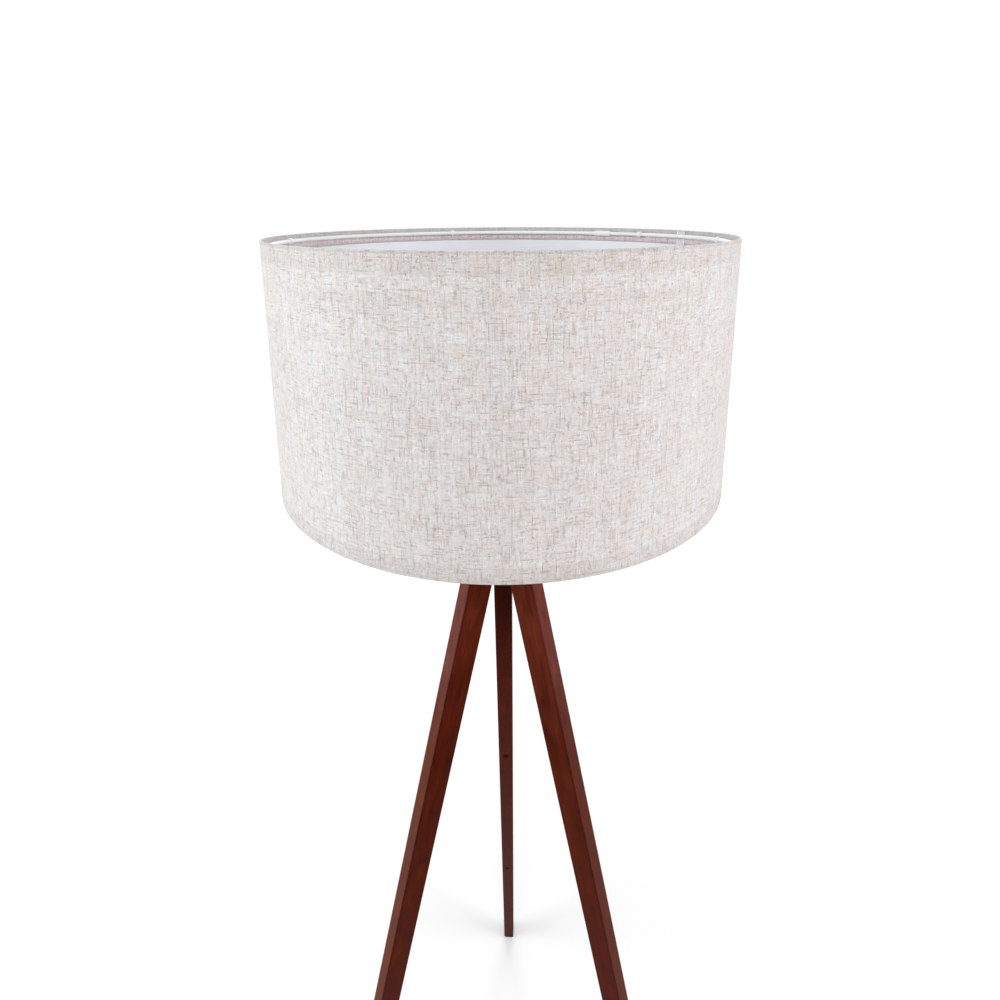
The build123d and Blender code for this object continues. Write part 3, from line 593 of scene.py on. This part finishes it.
# The next tint darkens the outside of the upper fold.
UPPER_FOLD_TINT = (0.82, 0.81, 0.82, 1)
HEM_BLUR = 0.5 * MM
HEM_NOISE = 260.0
HEM_WANDER = 4.0 * MM
HEM_FADE = 4.0 * MM
UPPER_START = 0.4
UPPER_END = 0.6
RING_SHADOW_START = 6.5 * MM
RING_SHADOW_END = 8.5 * MM
FOLD_DARK_START = 0.6 * MM
FOLD_DARK_END = 2.6 * MM
THREAD_RELIEF = 0.12 * MM

linen, linen_tree, linen_inputs = new_finish(
    "linen", Roughness=0.9, Sheen_Weight=0.35, Sheen_Roughness=0.5, Specular_IOR_Level=0.2
)
cloth_map = add(linen_tree, "UVMap", uv_map="cloth").outputs[0]
pitches = {"Warp Pitch": WARP_PITCH, "Weft Pitch": WEFT_PITCH}
threads = use(linen_tree, weave, {"Cloth": cloth_map, **pitches})
strip = apart(linen_tree, cloth_map)[1]
from_edge = calc(linen_tree, "MINIMUM", strip, calc(linen_tree, "SUBTRACT", CLOTH_LENGTH, strip))
inside = step(linen_tree, from_edge, HEM - HEM_BLUR, HEM + HEM_BLUR, 1.0, 0.0)
upper = step(linen_tree, strip, CLOTH_LENGTH * UPPER_START, CLOTH_LENGTH * UPPER_END)
uneven = calc(linen_tree, "MULTIPLY", cloud(linen_tree, cloth_map, HEM_NOISE, 2.0), HEM_WANDER)
hem_reach = calc(linen_tree, "ADD", from_edge, uneven)
doubled = step(linen_tree, hem_reach, 2 * HEM, 2 * HEM + HEM_FADE, 1.0, 0.0)
# Painted shadow of the top ring, on the upper hem's inside near the fold.
ring_shadow = step(linen_tree, from_edge, RING_SHADOW_START, RING_SHADOW_END, 0.0, upper)
ring_shadow_inside = calc(linen_tree, "MULTIPLY", inside, ring_shadow)
# The outside of the upper fold is darkened.
from_fold = calc(linen_tree, "ABSOLUTE", calc(linen_tree, "SUBTRACT", from_edge, HEM + FOLD))
upper_fold_dark = calc(linen_tree, "MULTIPLY", upper, step(linen_tree, from_fold, FOLD_DARK_START, FOLD_DARK_END, 1.0, 0.0))
upper_fold_dark_outside = calc(linen_tree, "MULTIPLY", upper_fold_dark, calc(linen_tree, "SUBTRACT", 1.0, inside))
# Painted light and shade on the cloth: shade on the doubled hem, light through the turned-in strip, and the
# top ring's shadow near the upper fold.
shaded = mix(linen_tree, doubled, PLAIN, DOUBLED_TINT)
shaded = mix(linen_tree, inside, shaded, THROUGH_LIGHT_TINT)
shaded = mix(linen_tree, ring_shadow_inside, shaded, RING_SHADOW_TINT)
shaded = mix(linen_tree, upper_fold_dark_outside, shaded, UPPER_FOLD_TINT)
wire(linen_tree, linen_inputs["Base Color"], multiply(linen_tree, threads["Color"], shaded))
wire(linen_tree, linen_inputs["Normal"], relief(linen_tree, threads["Height"], THREAD_RELIEF))
print("linen finish of", len(linen_tree.nodes), "nodes")

# %% [markdown]
# The cover now becomes a piece that rides on the shade, and a Solidify modifier gives the cloth its
# thickness.

# %% Cover piece
cover = make_piece("linen_cover", cover_shape, "shade", linen, ["shade_fabric"], crease=60.0)
thick = cover.modifiers.new("cloth_thickness", "SOLIDIFY")
thick.thickness = CLOTH
thick.offset = 0.0

# %% [markdown]
# ## Fine wear
# No painted, moulded or plated surface is quite even. One node group gives them all a broad cloud, a finer
# one and faint scuffs, and a helper makes a finish from it that wanders between two colours and two degrees
# of roughness. Noise seldom leaves the span from 0.3 to 0.7, so that span is stretched over the two. As a
# group it is drawn once and used by every small finish.

# %% The wear group
COMMON_NOISE = (0.3, 0.7)
FINE_SHARE = 0.35
SCUFF_SHARE = 0.5

wear, wear_in, wear_out = new_group(
    "fine_wear",
    [("Place", "Vector", (0, 0, 0))],
    [("Tone", "Float"), ("Gloss", "Float"), ("Height", "Float")],
)
broad = cloud(wear, wear_in["Place"], scale=35.0, detail=3.0)
fine = cloud(wear, wear_in["Place"], scale=900.0, detail=2.0)
scuff = cloud(wear, wear_in["Place"], scale=260.0, detail=4.0)
wire(wear, wear_out["Tone"], shift(wear, FINE_SHARE, broad, fine))
wire(wear, wear_out["Gloss"], shift(wear, SCUFF_SHARE, broad, scuff))
wire(wear, wear_out["Height"], fine)


def worn_finish(name, dark, light, smooth, rough, bump=0.02, **constants):
    """A finish whose colour and roughness wander a little; the bump is in millimetres."""
    material, tree, inputs = new_finish(name, **constants)
    place = add(tree, "TexCoord").outputs["Object"]
    marks = use(tree, wear, {"Place": place})
    wire(tree, inputs["Base Color"], mix(tree, step(tree, marks["Tone"], *COMMON_NOISE), dark, light))
    wire(tree, inputs["Roughness"], step(tree, marks["Gloss"], *COMMON_NOISE, smooth, rough))
    wire(tree, inputs["Normal"], relief(tree, marks["Height"], bump * MM))
    return material


print("wear group of", len(wear.nodes), "nodes")

# %% [markdown]
# ## Lining
# Behind the cloth is a rolled sheet of matte white plastic, which makes the drum stiff and spreads the
# light. It is a plain strip, spun like the cover, with its edges inside the hems.

# %% Lining sheet
LINING_DEPTH = 0.85 * MM
LINING_SHEET = 0.3 * MM
lining = worn_finish("lining_sheet", (0.72, 0.715, 0.745, 1), (0.75, 0.745, 0.775, 1), 0.5, 0.65)
lining_rise = SLANT - 2 * LINING_DEPTH
lining_path = [(LINING_DEPTH + lining_rise * n / WALL_ROWS, LINING_DEPTH) for n in range(WALL_ROWS + 1)]
lining_shape = bmesh.new()
corners, edges = outline(lining_shape, [on_wall(*place) for place in lining_path])
spin(lining_shape, corners + edges)
liner = make_piece("shade_liner", lining_shape, "shade", lining, ["shade_lining"])
sheet = liner.modifiers.new("sheet_thickness", "SOLIDIFY")
sheet.thickness = LINING_SHEET
sheet.offset = 0.0

# %% [markdown]
# ## White wire
# The top ring, its crimped sleeve, the clips and the spider below are steel wire with white powder coat.
# Their CAD solids already have the real shape, so they only need the finish.

# %% White powder coat
WHITE_LOW = (0.73, 0.73, 0.725, 1)
WHITE_HIGH = (0.78, 0.78, 0.775, 1)


def dress(finish, *names):
    """Gives CAD nodes a finish in place of their plain colour."""
    for name in names:
        slots = nodes[name].material_slots
        for number in range(len(slots)):
            slots[number].material = finish
    print(finish.name, "on", len(names), "nodes")


white_coat = worn_finish(
    "white_powder_coat", WHITE_LOW, WHITE_HIGH, 0.55, 0.7, bump=0.03, Specular_IOR_Level=0.15
)
dress(white_coat, "top_ring", "ring_ferrule", "ring_clips", "spider")

# %% [markdown]
# ## Clear tape
# The seam tape is a clear film: hardly seen in the middle, with two bright edges. The edges could be
# separate strips, but a mask is enough: it takes the angle round the lamp's axis from the seam, as a
# distance.

# %% Clear tape
TAPE_WIDTH = 10.5 * MM
TAPE_CLEAR = 1.3 * MM
TAPE_BRIGHT = 0.7 * MM
MIDDLE_ALPHA = 0.35
EDGE_ALPHA = 0.9
tape, tape_tree, tape_inputs = new_finish("clear_tape", Base_Color=(0.95, 0.95, 0.97, 1), Roughness=0.3)
tape_x, tape_y, _ = apart(tape_tree, add(tape_tree, "TexCoord").outputs["Object"])
tape_angle = calc(tape_tree, "SUBTRACT", calc(tape_tree, "ARCTAN2", tape_y, tape_x), SEAM_ANGLE)
tape_reach = calc(tape_tree, "MULTIPLY", calc(tape_tree, "ABSOLUTE", tape_angle), TOP_RADIUS)
clear_end = TAPE_WIDTH / 2 - TAPE_CLEAR
bright_start = TAPE_WIDTH / 2 - TAPE_BRIGHT
film = step(tape_tree, tape_reach, clear_end, bright_start, MIDDLE_ALPHA, EDGE_ALPHA)
wire(tape_tree, tape_inputs["Alpha"], film)
dress(tape, "seam_tape")

# %% [markdown]
# ## Stained wood
# The legs are strips of hardwood, stained red-brown under a satin varnish. Grain runs along each strip, so
# the noise is stretched along the leg, and every one of the three strips in a leg is a different piece of
# timber. The pattern is solid, like the wood, so it also meets at the corners. An image would have to be
# unwrapped there.

# %% The grain group's timber
LEG_DEPTH = 27.0 * MM
LEG_WIDTH = 20.0 * MM
STRIP_LENGTH = 410.0 * MM
STRIP_TOP = 13.5 * MM
NEXT_DEPTH = 0.173
NEXT_WIDTH = 0.291
PORE_STEP = (0.60, 0.74)

grain, wood_in, wood_out = new_group(
    "stained_grain",
    [
        ("Place", "Vector", (0, 0, 0)),
        ("Top Light And Shade", "Color", PLAIN),
        ("Low Light And Shade", "Color", PLAIN),
        ("Outer Face Light", "Color", PLAIN),
    ],
    [("Color", "Color"), ("Roughness", "Float"), ("Height", "Float")],
)
depth, width, up = apart(grain, wood_in["Place"])
strips_down = calc(grain, "DIVIDE", calc(grain, "SUBTRACT", STRIP_TOP, up), STRIP_LENGTH)
strip_number = calc(grain, "FLOOR", strips_down)
timber = triple(
    grain,
    calc(grain, "ADD", depth, calc(grain, "MULTIPLY", strip_number, NEXT_DEPTH)),
    calc(grain, "ADD", width, calc(grain, "MULTIPLY", strip_number, NEXT_WIDTH)),
    up,
)


def drawn_out(share, scale, detail):
    """Noise drawn out along the grain, by shortening the place along it."""
    place = add(grain, "Mapping", {"Vector": timber, "Scale": (1, 1, share)}).outputs[0]
    return cloud(grain, place, scale, detail)


figure = drawn_out(share=0.30, scale=75.0, detail=3.0)
streak = drawn_out(share=0.035, scale=520.0, detail=3.0)
pore = step(grain, drawn_out(share=0.018, scale=1900.0, detail=1.0), *PORE_STEP)
print("timber in strips of", round(STRIP_LENGTH / MM), "mm")

# %% [markdown]
# The stain follows the grain from dark to pale, sinks into the pores, and gathers on the eased edges and in
# the hairline where two strips meet. The outer faces get painted light, and each leg gets painted light and
# shade at the top and lower down, which the legs' materials pass in as colours.

# %% The grain group's stain
DARK_GRAIN = (0.046, 0.0045, 0.0012, 1)
MIDDLE_GRAIN = (0.084, 0.0100, 0.0026, 1)
PALE_GRAIN = (0.125, 0.0210, 0.0070, 1)
PORE_STAIN = (0.030, 0.006, 0.004, 1)
EDGE_STAIN = (0.012, 0.003, 0.002, 1)
SPLICE_STAIN = (0.008, 0.002, 0.001, 1)
STREAK_SHARE = 0.35
MIDDLE_STEP = (0.30, 0.52)
PALE_STEP = (0.50, 0.75)
EDGE_STEP = (0.80, 0.93)
FACE_STEP = (-0.05, 0.05)
GLOSS_STEP = (0.3, 0.7, 0.40, 0.52)
PORE_SHARE = 0.5
EDGE_SHARE = 0.35
SPLICE_SHARE = 0.7
SPLICE_CORE = 0.15 * MM
SPLICE_EDGE = 0.5 * MM
LIGHT_SHADE_START = -50.0 * MM
LIGHT_SHADE_END = -250.0 * MM

tint = shift(grain, STREAK_SHARE, figure, streak)
wood = mix(grain, step(grain, tint, *MIDDLE_STEP), DARK_GRAIN, MIDDLE_GRAIN)
wood = mix(grain, step(grain, tint, *PALE_STEP), wood, PALE_GRAIN)
wood = mix(grain, calc(grain, "MULTIPLY", pore, PORE_SHARE), wood, PORE_STAIN)
to_side = calc(grain, "DIVIDE", calc(grain, "ABSOLUTE", width), LEG_WIDTH / 2)
to_front = calc(grain, "DIVIDE", calc(grain, "ABSOLUTE", depth), LEG_DEPTH / 2)
arris = step(grain, calc(grain, "MINIMUM", to_side, to_front), *EDGE_STEP)
wood = mix(grain, calc(grain, "MULTIPLY", arris, EDGE_SHARE), wood, EDGE_STAIN)
whole_strips = calc(grain, "ROUND", strips_down)
to_splice = calc(grain, "ABSOLUTE", calc(grain, "SUBTRACT", strips_down, whole_strips))
splice_gap = calc(grain, "MULTIPLY", to_splice, STRIP_LENGTH)
splice = step(grain, splice_gap, SPLICE_CORE, SPLICE_EDGE, 1.0, 0.0)
wood = mix(grain, calc(grain, "MULTIPLY", splice, SPLICE_SHARE), wood, SPLICE_STAIN)
# Painted light: the outer face, which faces a side lamp, is brightened by the leg's given colour.
outwards = calc(grain, "DIVIDE", depth, LEG_DEPTH / 2)
outer_face = step(grain, calc(grain, "SUBTRACT", outwards, to_side), *FACE_STEP)
wood = multiply(grain, wood, mix(grain, outer_face, PLAIN, wood_in["Outer Face Light"]))
# Painted light and shade: the leg's colour changes from its top to lower down.
lower = step(grain, up, LIGHT_SHADE_START, LIGHT_SHADE_END)
leg_light_and_shade = mix(grain, lower, wood_in["Top Light And Shade"], wood_in["Low Light And Shade"])
wire(grain, wood_out["Color"], multiply(grain, wood, leg_light_and_shade))
wire(grain, wood_out["Roughness"], step(grain, figure, *GLOSS_STEP))
wire(grain, wood_out["Height"], calc(grain, "SUBTRACT", streak, calc(grain, "ADD", pore, splice)))
print("grain group of", len(grain.nodes), "nodes")

# %% [markdown]
# The grain is laid out in the leg's own frame, which starts at its pivot: a Mapping node turns the lamp's
# coordinates to the leg's, worked out from its fold joint. Three materials share the group, one for each
# leg, with its own painted light and shade: the back leg is darker at the top, in painted shade under the
# shade, and the front two are paler there. These colours are chosen to match the picture.

# %% Legs
WOOD_RELIEF = 0.04 * MM
# Painted light and shade for each leg: at its top, lower down, and on its outer face.
LEG_LIGHT_AND_SHADE = {
    "back": {
        "Top Light And Shade": (0.41, 0.24, 0.10, 1),
        "Low Light And Shade": (0.96, 1.06, 1.15, 1),
        "Outer Face Light": (1.4, 2.3, 3.6, 1),
    },
    "left": {
        "Top Light And Shade": (1.09, 1.20, 1.55, 1),
        "Low Light And Shade": (0.85, 0.74, 0.50, 1),
        "Outer Face Light": (1.66, 3.3, 7.0, 1),
    },
    "right": {
        "Top Light And Shade": (1.46, 2.00, 3.30, 1),
        "Low Light And Shade": (0.95, 0.95, 0.95, 1),
        "Outer Face Light": (1.13, 1.60, 2.5, 1),
    },
}


def leg_frame(side):
    """Turns and moves the lamp's coordinates to a leg's own, from its fold joint."""
    fold = joints[f"leg_{side}_fold"]
    pivot = Vector(fold["pos_m"])
    lean = math.radians(fold["range_deg"][1])
    turn = Matrix.Rotation(lean, 3, "Y") @ Matrix.Rotation(-math.atan2(pivot.y, pivot.x), 3, "Z")
    return turn.to_euler("XYZ"), -(turn @ pivot)


def stained_leg(side, light_and_shade):
    """The stained wood of one leg, with its painted light and shade."""
    material, tree, inputs = new_finish(f"stained_wood_{side}", Specular_IOR_Level=0.02)
    turn, move = leg_frame(side)
    place = add(tree, "TexCoord").outputs["Object"]
    own = add(tree, "Mapping", {"Vector": place, "Rotation": turn, "Location": move}).outputs[0]
    finish = use(tree, grain, {"Place": own, **light_and_shade})
    wire(tree, inputs["Base Color"], finish["Color"])
    wire(tree, inputs["Roughness"], finish["Roughness"])
    wire(tree, inputs["Normal"], relief(tree, finish["Height"], WOOD_RELIEF))
    return material


for side, light_and_shade in LEG_LIGHT_AND_SHADE.items():
    dress(stained_leg(side, light_and_shade), *[f"leg_{side}_{part}" for part in ("upper", "middle", "lower")])

# %% [markdown]
# ## Metal
# The hub, the neck and the pivots are dark bronze, the hidden studs and nuts plain zinc, and the lock
# screws black steel. Brass carries the current, and the bulb's cap is bright metal. The wear group serves
# them all, with its own colours and roughness for each.

# %% Metal finishes
bronze = worn_finish(
    "dark_bronze", (0.055, 0.037, 0.026, 1), (0.085, 0.058, 0.040, 1), 0.32, 0.46, bump=0.01, Metallic=0.75
)
zinc = worn_finish(
    "zinc_plate", (0.48, 0.48, 0.47, 1), (0.60, 0.60, 0.58, 1), 0.28, 0.42, bump=0.01, Metallic=1.0
)
black_steel = worn_finish(
    "black_oxide", (0.004, 0.004, 0.004, 1), (0.007, 0.007, 0.007, 1), 0.5, 0.65, Specular_IOR_Level=0.1
)
brass = worn_finish(
    "brass", (0.60, 0.41, 0.15, 1), (0.72, 0.52, 0.22, 1), 0.22, 0.36, bump=0.01, Metallic=1.0
)
bright = worn_finish(
    "bulb_cap_metal", (0.66, 0.66, 0.66, 1), (0.76, 0.76, 0.75, 1), 0.2, 0.34, bump=0.01, Metallic=1.0
)
dress(bronze, "hub_casting", "neck_sleeve")
dress(zinc, "stem_tube", "stem_nuts", "stem_washers")
dress(brass, "screw_shell", "centre_contact", "terminal_screws")
dress(bright, "bulb_cap", "bulb_tip")
for side in LEG_LIGHT_AND_SHADE:
    dress(bronze, *[f"leg_{side}_{part}" for part in ("pivot_bolt", "pivot_nut", "pivot_washers")])
    dress(zinc, f"leg_{side}_studs")
    dress(black_steel, f"leg_{side}_lock_screws")

# %% [markdown]
# ## Plastic, porcelain, rubber and glass
# The lampholder and its switch are black moulded plastic round a porcelain insulator, the feet are rubber,
# and black glass insulates the bulb's tip. They differ mostly in roughness: glass is the smoothest, rubber
# the roughest.

# %% Other small finishes
plastic = worn_finish(
    "black_plastic", (0.010, 0.010, 0.010, 1), (0.015, 0.015, 0.015, 1), 0.26, 0.34, bump=0.005
)
porcelain = worn_finish("porcelain", (0.72, 0.71, 0.67, 1), (0.78, 0.77, 0.73, 1), 0.10, 0.18, bump=0.01)
rubber = worn_finish("foot_rubber", (0.020, 0.020, 0.020, 1), (0.036, 0.035, 0.034, 1), 0.7, 0.85, bump=0.06)
black_glass = worn_finish(
    "black_glass", (0.008, 0.008, 0.008, 1), (0.014, 0.014, 0.013, 1), 0.05, 0.12, bump=0.005
)
dress(plastic, "cord_bushing", "holder_cap", "holder_shell", "ring_nut", "switch_body", "switch_knob")
dress(porcelain, "holder_insulator")
dress(black_glass, "bulb_insulator")
dress(rubber, *[f"leg_{side}_foot_pad" for side in LEG_LIGHT_AND_SHADE])

# %% [markdown]
# ## The bulb
# The bulb is opal glass. Its neck swells into the globe along one smooth curve, which a Bezier gives, and
# the outline's crown is a quarter circle. It is spun like the shade, in fewer steps because it is smaller.

# %% Opal globe
SWELL_STEPS = 24
CROWN_STEPS = 20
GLOBE_SPIN_STEPS = 96
NECK_PULL = 0.50
GLOBE_PULL = 0.45
CAP_WALL = 1.0 * MM
globe_low, globe_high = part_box("bulb_globe")
cap_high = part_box("bulb_cap")[1]
GLOBE_RADIUS = globe_high.x
GLOBE_MIDDLE = globe_high.z - GLOBE_RADIUS
CAP_RIM = cap_high.z
NECK_RADIUS = cap_high.x
PLUG_RADIUS = NECK_RADIUS - CAP_WALL
globe_rise = GLOBE_MIDDLE - CAP_RIM
swell = interpolate_bezier(
    (NECK_RADIUS, 0, CAP_RIM),
    (NECK_RADIUS, 0, CAP_RIM + NECK_PULL * globe_rise),
    (GLOBE_RADIUS, 0, GLOBE_MIDDLE - GLOBE_PULL * globe_rise),
    (GLOBE_RADIUS, 0, GLOBE_MIDDLE),
    SWELL_STEPS,
)
turns = [math.pi / 2 * n / CROWN_STEPS for n in range(1, CROWN_STEPS + 1)]
crown = [(GLOBE_RADIUS * math.cos(a), GLOBE_MIDDLE + GLOBE_RADIUS * math.sin(a)) for a in turns]
plug = [(0, globe_low.z), (PLUG_RADIUS, globe_low.z), (PLUG_RADIUS, CAP_RIM)]
globe_shape = bmesh.new()
corners, edges = outline(globe_shape, plug + [(place.x, place.z) for place in swell] + crown)
spin(globe_shape, corners + edges, steps=GLOBE_SPIN_STEPS)
opal = worn_finish(
    "opal_glass", (0.87, 0.87, 0.855, 1), (0.91, 0.91, 0.895, 1), 0.18, 0.28, bump=0.004, IOR=1.5
)
make_piece("opal_globe", globe_shape, "bulb", opal, ["bulb_globe"], crease=35.0)
